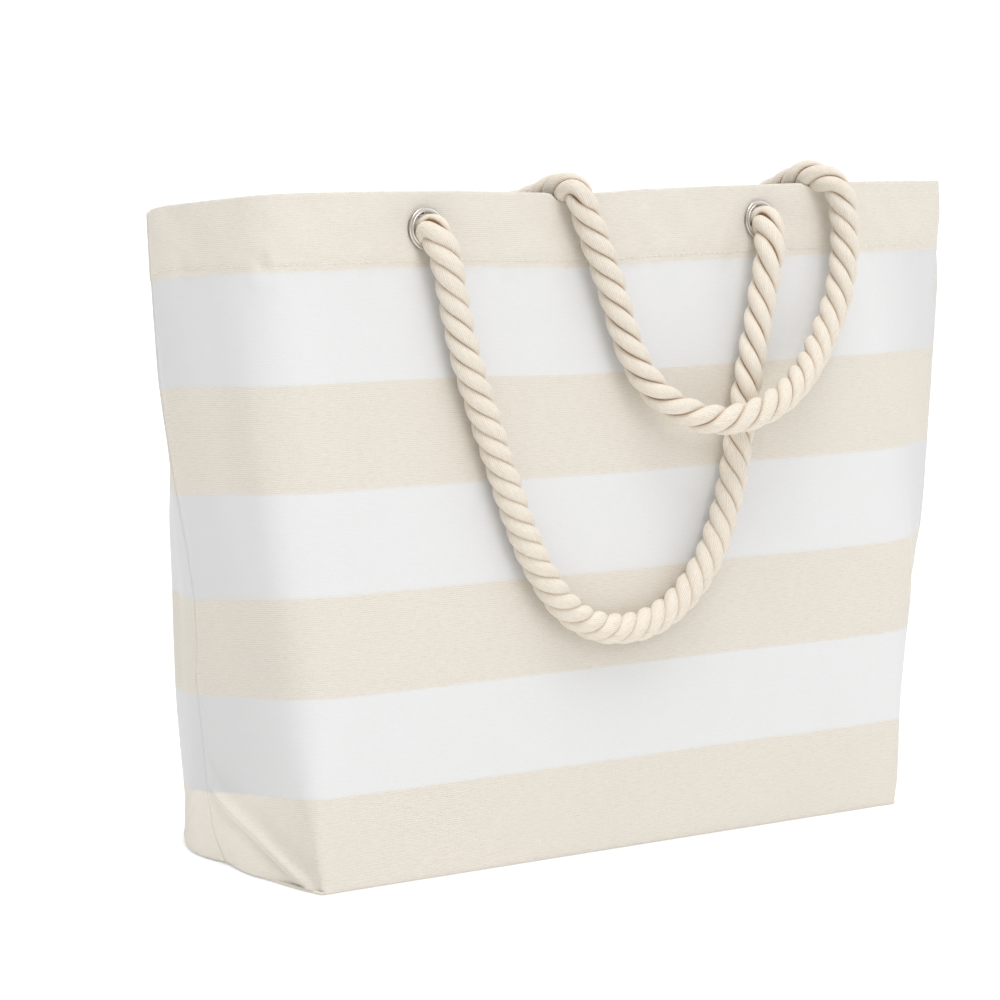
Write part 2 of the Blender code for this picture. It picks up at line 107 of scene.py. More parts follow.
# The outline: each corner's course up the wall, at these shares of the height
LEVELS = (0.0, 0.35, 0.7, 1.0)
LEFT_SEAM = metres((-1935, 0, 0), (-2092, 100, 1222), (-2205, 180, 2435), (-2230, 275, 3385))
RIGHT_SEAM = metres((1920, 0, 0), (2465, -230, 1222), (2585, -370, 2440), (2585, -400, 3478))
FRONT_LEFT = metres((-1920, -850, 0), (-1975, -745, 1224), (-2020, -640, 2445),
    (-2060, -565, 3470))
FRONT_RIGHT = metres((1920, -850, 0), (2055, -757, 1224), (1970, -625, 2447), (1880, -510, 3490))
BACK_LEFT = metres((-1780, 760, 0), (-1830, 755, 1215), (-1720, 790, 2410), (-1600, 800, 3380))
BACK_KNUCKLE = metres((-470, 850, 0), (-470, 640, 1220), (-460, 300, 2390), (-450, -80, 3350))
BACK_RIGHT = metres((1920, 850, 0), (1880, 520, 1222), (1880, 240, 2400), (1900, -60, 3360))
KNUCKLE = 0.230  # where along the width the back folds in
# Dips of the rim under the rear rope: place, depth, half width
FRONT_DIPS = ((0.2655, 0.0056, 0.0072), (0.4360, 0.0026, 0.0066))
BACK_DIPS = ((0.2450, 0.0105, 0.0095), (0.4270, 0.0085, 0.0095))
DIP_REACH = 0.016  # down the wall
# How far the front (1) and back (-1) sink towards the rim: places along the width, and metres
SAG = {
    1: ((0, 0.006, 0.014, 0.15, 0.2, 0.235, 0.262, 0.29, 0.32, 0.38, 0.45, 0.554),
        metres(34, 16, 5, 6, 12, 28, 38, 38, 26, 17, 12, 5)),
    -1: ((0, 0.006, 0.014, 0.2, 0.554),
         metres(34, 16, 6, 10, 5))}
# How far the cloth strays from those courses: shares of the height, and metres.
# The left seam goes sideways and back, the back left corner and the right seam sideways
LEFT_EASE = ((0, 0.05, 0.1, 0.16, 0.23, 0.33, 0.4, 0.47, 0.6, 0.72, 1),
             metres(-8, -10, 0, 10, 18, 10, -6, -12, -12, -16, 0))
LEFT_SLIDE = ((0, 0.04, 0.1, 0.16, 0.23, 0.28, 0.33, 0.4, 0.47, 0.6, 0.72, 1),
              metres(40, 100, 120, 105, 90, 70, 0, -70, -78, -22, 0, 0))
BACK_EASE = ((0, 0.06, 0.1, 0.16, 0.23, 0.33, 0.4, 0.5, 0.58, 0.68, 1),
             metres(14, 42, 42, 30, 10, -6, -20, -52, -60, -26, 0))
RIGHT_EASE = ((0, 0.13, 0.25, 0.36, 0.42, 0.47, 0.53, 0.6, 0.7, 0.84, 0.895, 0.95, 1),
              metres(0, -10, 40, 105, 94, 68, 38, 16, 4, 14, -4, 14, 0))
# And so does the front right corner
CORNER_EASE = ((0, 0.055, 0.11, 0.16, 0.21, 0.27, 0.32, 0.37, 0.42, 0.5, 1),
               metres(-8, -15, -10, 6, 30, 42, 48, 42, 22, 0, 0))

# The handles' swing lines, (y, z), where the rear rope crosses its own, and the ropes' routes
REAR_AXIS = (-0.0655, 0.3465)
REAR_PIVOTS = {"left": -0.0195, "right": 0.1598}
FRONT_ROUTE = metres((-1050, -685, 3130), (-1008, -700, 2900), (-965, -720, 2670),
    (-890, -742, 2417), (-805, -766, 2160), (-740, -783, 1960), (-670, -801, 1760),
    (-580, -819, 1560), (-455, -836, 1370), (-300, -846, 1240), (-110, -851, 1180),
    (100, -851, 1185), (290, -846, 1255), (450, -835, 1375), (580, -823, 1530), (680, -805, 1720),
    (745, -791, 1880), (795, -775, 2060), (840, -760, 2240), (890, -744, 2420), (945, -726, 2610),
    (1000, -710, 2790), (1050, -696, 2970), (1093, -686, 3140))
REAR_ROUTE = metres((-172, -665, 3400), (-112, -675, 3250), (-42, -688, 3075), (15, -705, 2900),
    (65, -725, 2720), (135, -748, 2550), (240, -785, 2400), (378, -840, 2300), (540, -900, 2250),
    (730, -940, 2262), (930, -936, 2325), (1130, -880, 2425), (1310, -800, 2545),
    (1450, -745, 2690), (1545, -720, 2840), (1600, -703, 3000), (1628, -690, 3160),
    (1630, -673, 3340))
REAR_LEAD = {
    "left": metres((-195, -500, 3484), (-215, -400, 3448), (-250, -250, 3395), (-295, -80, 3362),
        (-355, 80, 3342), (-440, 200, 3300), (-540, 250, 3240)),
    "right": metres((1542, -510, 3532), (1515, -400, 3504), (1498, -250, 3438), (1482, -80, 3372),
        (1470, 50, 3335))}

# Printed bands: heights up the cloth where the white bands start and end
BANDS = ((0.0475, 0.0965), (0.1475, 0.1995), (0.2537, 0.3105))
BAND_EDGE = 0.0002  # half the width of a band's soft edge

# ---- camera

AZIMUTH, PITCH = math.radians(35.73), math.radians(6.57)
CAMERA_AT = (-1.07512, -1.46358, 0.38655)


def new_object(name, data):
    obj = bpy.data.objects.new(name, data)
    bpy.context.scene.collection.objects.link(obj)
    return obj


def add_camera():
    data = bpy.data.cameras.new("camera")
    data.sensor_width = 36.0
    data.lens = 120.6
    data.clip_end = 50.0
    camera = new_object("camera", data)
    ahead = Vector((math.sin(AZIMUTH) * math.cos(PITCH), math.cos(AZIMUTH) * math.cos(PITCH),
                    -math.sin(PITCH)))
    camera.location = Vector(CAMERA_AT) + Vector(SHIFT)
    camera.rotation_euler = ahead.to_track_quat("-Z", "Y").to_euler()
    bpy.context.scene.camera = camera


add_camera()

# ---- materials


class Nodes:
    """Short names for building a material's nodes."""

    def __init__(self, name):
        self.material = bpy.data.materials.new(name)
        self.material.use_nodes = True
        self.tree = self.material.node_tree
        self.shader = self.tree.nodes["Principled BSDF"]

    def add(self, kind, inputs=None, **settings):
        node = self.tree.nodes.new("ShaderNode" + kind)
        for key, value in settings.items():
            setattr(node, key, value)
        for key, value in (inputs or {}).items():
            self.feed(node.inputs[key], value)
        return node

    def feed(self, socket, value):
        if isinstance(value, bpy.types.NodeSocket):
            self.tree.links.new(value, socket)
        elif isinstance(value, bpy.types.Node):
            self.tree.links.new(value.outputs[0], socket)
        else:
            socket.default_value = value

    def math(self, operation, *values):
        node = self.add("Math", operation=operation)
        for i, value in enumerate(values):
            self.feed(node.inputs[i], value)
        return node.outputs[0]

    def times(self, a, b):
        return self.math("MULTIPLY", a, b)

    def plus(self, a, b):
        return self.math("ADD", a, b)

    def total(self, *parts):
        """The sum of some values, each times its weight."""
        terms = [self.times(value, weight) for value, weight in parts]
        out = terms.pop()
        while terms:
            out = self.plus(terms.pop(), out)
        return out

    def share(self, value, low, high):
        """0 at low, rising to 1 at high."""
        return self.add("MapRange",
                        {"Value": value, "From Min": low, "From Max": high}).outputs[0]

    def mix(self, factor, a, b):
        node = self.add("Mix", data_type="RGBA", blend_type="MIX")
        self.feed(node.inputs[0], factor)
        self.feed(node.inputs[6], a)
        self.feed(node.inputs[7], b)
        return node.outputs[2]

    def ramp(self, factor, stops):
        node = self.add("ValToRGB", {"Fac": factor})
        node.color_ramp.interpolation = "LINEAR"
        elements = node.color_ramp.elements
        while len(elements) < len(stops):
            elements.new(0.5)
        for element, (place, colour) in zip(elements, stops):
            element.position = place
            element.color = (*colour, 1.0)
        return node.outputs[0]

    def uv(self):
        parts = self.add("SeparateXYZ", {0: self.add("UVMap", uv_map="cloth")})
        return parts.outputs[0], parts.outputs[1]

    def cloth_uv(self):
        """(across, up) on the cloth, in millimetres."""
        return [self.times(part, 1000.0) for part in self.uv()]

    def speckle(self, scale):
        at = self.add("TexCoord").outputs["Object"]
        noise = self.add("TexNoise", {"Vector": at, "Scale": scale, "Detail": 2.0})
        return noise.outputs[0]

    def noise(self, x, y, scale_x, scale_y, detail=2.0, seed=0.0):
        """Noise with features about scale_x by scale_y long."""
        at = self.add("CombineXYZ", {0: self.math("DIVIDE", x, scale_x),
                                               1: self.math("DIVIDE", y, scale_y), 2: seed})
        node = self.add("TexNoise", {"Vector": at, "Scale": 1.0, "Detail": detail})
        return node.outputs[0]

    def wave(self, x, pitch):
        """0 to 1 and back over each pitch."""
        turn = self.math("SINE", self.times(x, 2 * math.pi / pitch))
        return self.math("MULTIPLY_ADD", turn, 0.5, 0.5)

    def bump(self, height, distance, strength):
        node = self.add("Bump", {"Height": height, "Distance": distance,
                                           "Strength": strength})
        self.feed(self.shader.inputs["Normal"], node.outputs[0])

    def finish(self, colour, roughness, sheen):
        self.feed(self.shader.inputs["Base Color"], colour)
        self.feed(self.shader.inputs["Roughness"], roughness)
        self.shader.inputs["Sheen Weight"].default_value = sheen
        self.shader.inputs["Sheen Roughness"].default_value = 0.5
        self.shader.inputs["Specular IOR Level"].default_value = 0.25
        return self.material


def srgb(r, g, b):
    """An sRGB colour from 0 to 255 as a linear colour."""
    return tuple(v / 12.92 if v <= 0.04045 else ((v + 0.055) / 1.055) ** 2.4
                 for v in (r / 255, g / 255, b / 255))


NATURAL_LIGHT, NATURAL, NATURAL_DARK = srgb(227, 222, 213), srgb(219, 213, 202), srgb(203, 195, 182)
PRINT_WHITE, PRINT_SHADE = srgb(223, 223, 223), srgb(218, 218, 218)
WEFT, WARP = 1.05, 0.95  # thread pitches, mm


def canvas_material(name, banded=True):
    """Plain-weave canvas with slubby weft threads, natural with printed white bands."""
    m = Nodes(name)
    x, y = m.cloth_uv()
    sway = m.noise(x, y, 18.0, 6.0, 3.0)
    weft = m.wave(m.plus(y, m.times(sway, 1.1)), WEFT)
    warp = m.wave(m.plus(x, m.times(m.noise(x, y, 5.0, 30.0, 2.0, 4.0), 0.9)), WARP)
    slub = m.noise(x, y, 5.0, 0.8, 2.0, 7.0)
    fleck = m.noise(x, y, 1.3, 0.9, 2.0, 11.0)
    patch = m.noise(x, y, 70.0, 55.0, 2.0, 17.0)
    thread = m.total((weft, 0.16), (slub, 0.44), (fleck, 0.40))
    relief = m.total((weft, 0.5), (warp, 0.25), (slub, 0.45))
    colour = m.ramp(thread, ((0.22, NATURAL_DARK), (0.47, NATURAL), (0.74, NATURAL_LIGHT)))
    colour = m.mix(m.times(patch, 0.22), colour, (*srgb(210, 203, 191), 1.0))
    if banded:
        edge = m.math("MULTIPLY_ADD", m.noise(x, y, 7.0, 7.0, 2.0, 23.0), 0.9, -0.45)
        edge = m.math("DIVIDE", m.plus(y, edge), HEIGHT * 1000)
        stops = [(0.0, (0, 0, 0))]
        for low, high in BANDS:
            for place, value in ((low - BAND_EDGE, 0), (low + BAND_EDGE, 1),
                                 (high - BAND_EDGE, 1), (high + BAND_EDGE, 0)):
                stops.append((place / HEIGHT, (value,) * 3))
        share = m.ramp(edge, stops)
        # painted highlight: the bare cloth is painted paler along the hem and at the foot of the
        # gussets, and painted shade makes the white greyer on the gussets
        beside = m.math("ABSOLUTE", m.math("SUBTRACT", x, WIDTH * 500))
        beside = m.share(beside, BASE * 500 + 2, BASE * 500 + 62)
        foot, hem = m.share(y, 50.0, 46.0), m.share(y, 306.0, 312.0)
        # painted highlight on the bare cloth at the hem and the gussets' foot
        pale = m.plus(m.times(m.times(beside, foot), 0.42), m.times(hem, 0.05))
        natural = m.mix(pale, colour, (*srgb(248, 242, 231), 1.0))
        white = m.ramp(thread, ((0.25, PRINT_SHADE), (0.60, PRINT_WHITE)))
        # painted shade on the gussets' white
        white = m.mix(m.times(beside, 0.65), white, (*srgb(209, 209, 209), 1.0))
        colour = m.mix(share, natural, white)
        relief = m.times(relief, m.math("MULTIPLY_ADD", share, -0.65, 1.0))
    m.bump(relief, 0.00016, 0.5)
    return m.finish(colour, 0.92, 0.12)


def tape_material(name):
    """Plain cotton tape: fine cross ribs."""
    m = Nodes(name)
    x, y = m.cloth_uv()
    rib = m.wave(m.plus(x, m.times(m.noise(x, y, 4.0, 4.0), 0.5)), 0.8)
    weave = m.wave(y, 0.9)
    mottle = m.noise(x, y, 3.0, 2.0, 3.0, 3.0)
    value = m.total((rib, 0.4), (mottle, 0.6))
    colour = m.ramp(value, ((0.2, srgb(222, 212, 194)), (0.7, srgb(242, 236, 224))))
    m.bump(m.plus(rib, m.times(weave, 0.6)), 0.00015, 0.5)
    return m.finish(colour, 0.93, 0.1)


def rope_material(name):
    """Soft cotton yarns, with painted shade on the strands' sides, darkest in the grooves between
    strands.
    """
    m = Nodes(name)
    around, along = m.uv()
    along = m.times(along, 1000.0)
    groove = m.add("Attribute", attribute_name="groove").outputs["Fac"]
    # yarns lie along the rope, so they run across a strand at a slant
    turn = m.math("SUBTRACT", around, m.times(along, 0.049))
    wander = m.noise(turn, along, 0.09, 14.0, 2.0, 2.0)
    yarn = m.wave(m.total((turn, 24.0), (wander, 0.9)), 1.0)
    fibre = m.noise(turn, along, 0.02, 5.0, 3.0, 5.0)
    fuzz = m.noise(around, along, 0.05, 1.2, 3.0, 9.0)
    shade = m.total((yarn, 0.30), (fibre, 0.40), (fuzz, 0.30))
    top = m.ramp(shade, ((0.22, srgb(212, 200, 183)), (0.50, srgb(229, 220, 206)),
                         (0.78, srgb(240, 233, 222))))
    # painted shade in the grooves between strands
    painted_groove_shade = m.ramp(shade, ((0.3, srgb(108, 76, 50)), (0.7, srgb(148, 114, 84))))
    # painted shade on the strands' sides, towards the grooves
    side = m.mix(0.62, top, (*srgb(194, 170, 142), 1.0))
    edge = m.plus(groove, m.math("MULTIPLY_ADD", fuzz, 0.05, -0.025))
    colour = m.mix(m.share(edge, 0.30, 0.50), top, side)
    colour = m.mix(m.share(edge, 0.43, 0.53), colour, painted_groove_shade)
    m.bump(m.total((yarn, 0.7), (fibre, 0.6)), 0.00035, 0.6)
    return m.finish(colour, 0.95, 0.15)


def nickel_material(name):
    m = Nodes(name)
    haze = m.speckle(160.0)
    colour = m.ramp(haze, ((0.3, (0.70, 0.67, 0.63)), (0.7, (0.78, 0.75, 0.71))))
    roughness = m.add("MapRange", {"Value": haze, "To Min": 0.30, "To Max": 0.38})
    m.feed(m.shader.inputs["Base Color"], colour)
    m.feed(m.shader.inputs["Roughness"], roughness)
    m.shader.inputs["Metallic"].default_value = 1.0
    return m.material


def thread_material(name):
    m = Nodes(name)
    twist = m.speckle(2500.0)
    colour = m.ramp(twist, ((0.3, srgb(222, 215, 203)), (0.7, srgb(240, 235, 226))))
    m.bump(twist, 0.0001, 0.4)
    return m.finish(colour, 0.85, 0.1)


# ---- outline


def shifted(course, dy):
    return [(x, y + dy, z) for x, y, z in course]


FRONT = {
    "outward": 1, "dips": FRONT_DIPS, "eyelets": FRONT_EYELETS, "belly": FRONT_BELLY,
    "softness": (CORNER_SOFTNESS, CORNER_SOFTNESS),
    "legs": ((0.0, shifted(LEFT_SEAM, -SEAM_HALF)), (HALF, FRONT_LEFT),
             (FAR, FRONT_RIGHT), (WIDTH, shifted(RIGHT_SEAM, -SEAM_HALF)))}
BACK = {
    "outward": -1, "dips": BACK_DIPS, "eyelets": BACK_EYELETS, "belly": BACK_BELLY,
    "softness": (BACK_LEFT_SOFTNESS, KNUCKLE_SOFTNESS, CORNER_SOFTNESS),
    "legs": ((0.0, shifted(LEFT_SEAM, SEAM_HALF)), (HALF, BACK_LEFT), (KNUCKLE, BACK_KNUCKLE),
             (FAR, BACK_RIGHT), (WIDTH, shifted(RIGHT_SEAM, SEAM_HALF)))}


def at_level(course, t):
    """Smooth (cubic) course of one outline point; t is an array, base 0 to rim 1."""
    t = np.asarray(t, float)
    out = np.zeros((*t.shape, 3))
    for i, point in enumerate(course):
        weight = np.ones_like(t)
        for j, level in enumerate(LEVELS):
            if j != i:
                weight = weight * (t - level) / (LEVELS[i] - level)
        out += weight[..., None] * np.array(point)
    return out


def ramp(x, radius):
    """0 below, x above, and rounded between."""
    return np.where(x <= -radius, 0.0, np.where(x >= radius, x, (x + radius) ** 2 / (4 * radius)))


def smooth(x):
    x = np.clip(x, 0.0, 1.0)
    return x * x * (3 - 2 * x)


def belly(side, share):
    """How far the left gusset's foot bulges."""
    return np.where((share > 0) & (share < 1), side["belly"] * 4 * share * (1 - share), 0.0)


def wall(side, s, t):
    """Middle of the cloth at places s along the width and t up the wall."""
    s, t = np.broadcast_arrays(np.asarray(s, float), np.asarray(t, float))
    low = smooth((t - 0.2) / 0.8)
    t = t - np.interp(s, *SAG[side["outward"]]) / HEIGHT * low
    for place, depth, half_width in side["dips"]:
        fade = np.exp(-(1 - t) * HEIGHT / DIP_REACH)
        t = t - depth / HEIGHT * fade * np.exp(-((s - place) / half_width) ** 4)
    places = [place for place, _ in side["legs"]]
    points = [at_level(course, t) for _, course in side["legs"]]
    if side["outward"] < 0:
        points[1][..., 0] += np.interp(t, *BACK_EASE)
    legs = [(b - a) / (q - p) for a, b, p, q in zip(points, points[1:], places, places[1:])]
    out = points[0] + legs[0] * s[..., None]
    for k in range(1, len(legs)):
        softness = side["softness"][k - 1]
        radius = FOLD + softness * smooth(t / SOFT_FROM)
        out += (legs[k] - legs[k - 1]) * ramp(s - places[k], radius)[..., None]
    out[..., 0] -= belly(side, s / HALF) * np.maximum(0.0, 1 - t) ** BELLY_FADE
    out[..., 0] += np.interp(t, *LEFT_EASE) * smooth((HALF - s) / HALF)
    out[..., 1] += np.interp(t, *LEFT_SLIDE) * smooth((HALF - s) / HALF)
    past = s - HALF - BASE
    out[..., 0] += np.interp(t, *RIGHT_EASE) * smooth(past / HALF)
    if side["outward"] > 0:
        ease = np.interp(t, *CORNER_EASE) * smooth(past / 0.04 + 1)
        out[..., 0] += ease * smooth(1.2 * (1 - past / HALF))
    out[..., 2] += CLOTH / 2
    return out + SHIFT


def seam_line(left, t):
    """Where a side seam runs."""
    out = at_level(LEFT_SEAM if left else RIGHT_SEAM, t)
    out[..., 0] += np.interp(t, *(LEFT_EASE if left else RIGHT_EASE))
    out[..., 1] += np.interp(t, *LEFT_SLIDE) if left else 0.0
    return out + SHIFT


def unit(v):
    return v / np.maximum(np.linalg.norm(v, axis=-1, keepdims=True), 1e-12)


def outward_normal(side, s, t):
    step = 0.003
    across = wall(side, s + step, t) - wall(side, s - step, t)
    along = wall(side, s, t + step) - wall(side, s, t - step)
    return unit(np.cross(across, along)) * side["outward"]


def bell(x, width):
    return np.exp(-(x / width) ** 2)


def sway(x, y, seed, count=5):
    """A smooth, repeatable wandering value about -1 to 1."""
    rng = np.random.default_rng(seed)
    total = 0.0
    for _ in range(count):
        a, b, c = rng.uniform(-1, 1), rng.uniform(-1, 1), rng.uniform(0, 2 * math.pi)
        total = total + np.sin(x * a * 2 * math.pi + y * b * 2 * math.pi + c)
    return total / count ** 0.5 / 1.2


def relief(side, s, h):
    """How far the cloth stands proud of the plain outline, in metres."""
    front = side is FRONT
    seed = 10 if front else 20
    mid = smooth((s - 0.01) / 0.06) * smooth((WIDTH - 0.01 - s) / 0.06)
    low = smooth(h / 0.05)
    # slow waves over the whole wall, fading at seams and base
    out = 0.0011 * sway(s / 0.10, h / 0.30, seed) * low * (0.35 + 0.65 * mid)
    out += 0.0004 * sway(s / 0.035, h / 0.16, seed + 1) * low
    # puckers that the hem's stitches draw in
    out += 0.00042 * sway(s / 0.011, h / 0.05, seed + 2) * bell(h - STITCH_AT, 0.009)
    out -= 0.00030 * bell(h - STITCH_AT, 0.0016)
    out += 0.00035 * sway(s / 0.020, h / 0.03, seed + 3) * smooth((h - STITCH_AT) / 0.012)
    for place in side["eyelets"].values():
        reach = np.hypot(s - place, h - (HEIGHT - EYELET_DROP))
        out -= 0.0006 * bell(reach - 0.010, 0.006)
    for mirror in (False, True):
        across = WIDTH - s if mirror else s
        # the boxed corner's crease, from the side seam down to the base corner
        line = CREASE_TOP - CREASE_SLOPE * across
        off = (h - line) * CREASE_COS
        fade = smooth((across + 0.002) / 0.012) * smooth((HALF + 0.006 - across) / 0.02)
        crease = (0.0027 * bell(off, 0.0018) - 0.0020 * bell(off - 0.008, 0.006)
                  - 0.0006 * bell(off + 0.006, 0.005))
        out += crease * fade * (1.0 if front else 0.15)
        # below it the corner leans out towards its foot
        lean = 0.10 * np.clip(line - h, 0, 0.03) * fade * smooth(across / 0.035)
        out += lean * (1.0 if front else 0.1)
        # the gusset is drawn in a little beside the seam, and rounded under at its foot
        out -= 0.0007 * bell(across, 0.007) * low
        reach, soft = (HALF - 0.012, 0.03) if front else (HALF + 0.004, 0.01)
        under = 1 - np.sqrt(np.clip(1 - np.clip(1 - h / 0.0050, 0, 1) ** 2, 0, 1))
        out -= 0.0012 * under * smooth((reach - across) / soft)
    if front:
        # a small pinch under the hem beside the left corner
        out -= 0.0016 * bell(s - 0.078, 0.006) * bell(h - 0.317, 0.0045)
        out += 0.0010 * bell(s - 0.078, 0.012) * bell(h - 0.308, 0.006)
        # the cloth is pressed back where the ropes hang
        out -= 0.0006 * bell(s - 0.190, 0.012) * bell(h - 0.300, 0.03)
    return out


# ---- mesh helpers


def new_mesh(name, points, faces, material, uvs=None, body="bag"):
    """A mesh object from points and faces; uvs is one (u, v) per point."""
    mesh = bpy.data.meshes.new(name)
    mesh.from_pydata([tuple(p) for p in points], [], [tuple(f) for f in faces])
    mesh.polygons.foreach_set("use_smooth", np.ones(len(mesh.polygons), bool))
    if uvs is not None:
        layer = mesh.uv_layers.new(name="cloth")
        loops = np.zeros(len(mesh.loops), np.int32)
        mesh.loops.foreach_get("vertex_index", loops)
        layer.data.foreach_set("uv", np.asarray(uvs, np.float32)[loops].ravel())
    mesh.update()
    obj = new_object(name, mesh)
    mesh.materials.append(material)
    if body:
        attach(obj, body)
    return obj


def ring_faces(count, sides, first=0):
    """Quads that join count rings of points, one after another."""
    i, j = np.meshgrid(np.arange(count - 1), np.arange(sides), indexing="ij")
    k = (j + 1) % sides
    quads = (i * sides + j, i * sides + k, (i + 1) * sides + k, (i + 1) * sides + j)
    return (np.stack(quads, -1).reshape(-1, 4) + first).tolist()


def ring_ways(first, second, angles):
    """Directions round a line, from two across it at each of its points."""
    return (first[:, None] * np.cos(angles)[None, :, None]
            + second[:, None] * np.sin(angles)[None, :, None])


def steps_of(points):
    return np.linalg.norm(np.diff(points, axis=0), axis=1)


def run_of(points):
    """How far along a line each of its points is."""
    return np.concatenate(([0], np.cumsum(steps_of(points))))


def catmull_rom(a, b, c, d, count):
    """Points from b up to c, on a smooth curve that comes from a and goes on to d."""
    return [0.5 * (2 * b + (c - a) * u + (2 * a - 5 * b + 4 * c - d) * u * u
                   + (3 * b - a - 3 * c + d) * u ** 3) for u in (k / count for k in range(count))]


def grid_faces(rows, columns, keep=None, flip=False):
    """Quads of a rows by columns grid of points."""
    i, j = np.meshgrid(np.arange(rows - 1), np.arange(columns - 1), indexing="ij")
    a = i * columns + j
    quads = np.stack((a, a + 1, a + columns + 1, a + columns), -1)
    if flip:
        quads = quads[..., ::-1]
    return quads[keep] if keep is not None else quads.reshape(-1, 4)


def apply_modifiers(obj):
    """The modifiers' result becomes the mesh."""
    graph = bpy.context.evaluated_depsgraph_get()
    mesh = bpy.data.meshes.new_from_object(obj.evaluated_get(graph))
    obj.modifiers.clear()
    obj.data = mesh


def thicken(obj, thickness):
    modifier = obj.modifiers.new("Thickness", "SOLIDIFY")
    modifier.thickness = thickness
    modifier.offset = 0.0
    apply_modifiers(obj)


def spaced(start, stop, step):
    return np.linspace(start, stop, max(2, round((stop - start) / step) + 1))


def merged(*groups, apart):
    """All the values, sorted, leaving out any too close to an earlier group's."""
    out = []
    for group in groups:
        out += [v for v in group if all(abs(v - w) > apart for w in out)]
    return np.array(sorted(out))


# ---- panels


def seam_inward(left, t):
    """The way a seam's allowance is turned, level with the base."""
    x, y = (1.0, -0.35 * t) if left else (-1.0, 0.05 * t)
    return unit(np.stack((np.full_like(t, x), np.broadcast_to(y, t.shape), np.zeros_like(t)), -1))


def cloth(side, s, h, lift=0.0):
    """Point on the cloth, with its relief; beyond the seams it turns inwards."""
    s, h = np.broadcast_arrays(np.asarray(s, float), np.asarray(h, float))
    t = h / HEIGHT
    inside = np.clip(s, 0.0, WIDTH)
    point = wall(side, inside, t)
    normal = outward_normal(side, np.clip(s, SEAM_TURN, WIDTH - SEAM_TURN), t)
    point = point + normal * (relief(side, inside, h) * smooth(np.minimum(s, WIDTH - s) / 0.004)
                              + lift)[..., None]
    for left in (True, False):
        past = -s if left else s - WIDTH
        point = point + seam_inward(left, t) * ramp(past, SEAM_TURN)[..., None]
    return point


def panel_places(side):
    """Where a panel's points are: along the width, across the base, up the wall and down
    the hem's inner layer, closer together where the cloth bends more."""
    drop = HEIGHT - EYELET_DROP
    patches = [np.arange(p - PATCH, p + PATCH + 0.0001, PATCH_STEP)
               for p in (*side["eyelets"].values(), drop)]
    corners = [p + d for p in (HALF, FAR) for d in (-0.004, 0, 0.004)]
    seams = [*metres(0, 7, 15, 30, -7, -15, -30, -60), -ALLOWANCE]
    seams += [WIDTH - v for v in seams]
    gusset = spaced(0.004, HALF + 0.006, FINE_STEP)
    columns = merged(seams, corners, *patches[:-1], gusset, WIDTH - gusset,
                     spaced(0, WIDTH, STEP), apart=0.0011)
    flap = np.concatenate((spaced(0.0001, HALF - 0.006, 0.012),
                           HALF - np.array((0.0035, 0.0017, 0.0007))))
    walls = merged([0, 0.0007, 0.0017, 0.0035, 0.006],
                   [HEIGHT - HEM - 0.0025, HEIGHT - HEM, STITCH_AT], patches[-1],
                   spaced(0, 0.045, FINE_STEP), spaced(0, HEIGHT - 0.0005, STEP), apart=0.0007)
    inner = np.concatenate(([HEIGHT - 0.002],
                            np.arange(drop + PATCH, drop - PATCH - 0.0001, -PATCH_STEP),
                            [STITCH_AT, HEIGHT - HEM]))
    return columns, flap, walls, inner


def base_fold(side, s):
    """The fold's roundness, and the way from it to the middle of the base."""
    inward = np.clip(np.minimum(s - HALF, FAR - s) / 0.015, 0, 1)
    edge = wall(side, s, 0.0)
    middle = np.stack((s - HALF - BASE / 2, np.zeros_like(s), edge[..., 2] - SHIFT[2]), -1) + SHIFT
    return np.maximum(1e-6, FOLD * smooth(inward)), middle - edge


def base_flap(side, columns, flap):
    """Half of the base, folded under."""
    s, reach = np.meshgrid(columns, flap)
    radius, way = base_fold(side, s)
    back = ramp(HALF - reach, radius)
    out = wall(side, s, ramp(reach - HALF, radius) / HEIGHT) + way * (back / HALF)[..., None]
    fade = np.clip(1 - (s - HALF) / BASE, 0, 1) ** BELLY_FADE
    out[..., 0] -= belly(side, 1 - back / HALF) * fade
    return out


def outer_layer(side, columns, walls):
    """The wall, which bulges over the hem and is tucked in at the front's foot."""
    s, h = np.meshgrid(columns, walls)
    radius, way = base_fold(side, s)
    back = ramp(-h, radius)
    over_hem = CLOTH * 0.5 * smooth((h - (HEIGHT - HEM - 0.003)) / 0.003)
    beside = np.minimum(s, WIDTH - s)
    lip = smooth((beside - 0.030) / 0.025) * (beside < HALF + 0.0005) * (side is FRONT)
    tucked = lip * (0.0010 * bell(h - 0.0022, 0.0011) + 0.0006 * smooth(1 - h / 0.002))
    return cloth(side, s, ramp(h, radius), over_hem - tucked) + way * (back / HALF)[..., None]


def rim_fold(side, columns):
    """The hem's fold over the rim."""
    level = np.full(len(columns), HEIGHT)
    normal = outward_normal(side, np.clip(columns, 0.0012, WIDTH - 0.0012), level / HEIGHT)
    top = cloth(side, columns, level)
    up = unit(top - cloth(side, columns, level - 0.004))
    return np.array([top + (normal * math.cos(a) + up * math.sin(a)) * CLOTH * 0.5
                     for a in np.radians((0, 45, 90, 135, 180))])


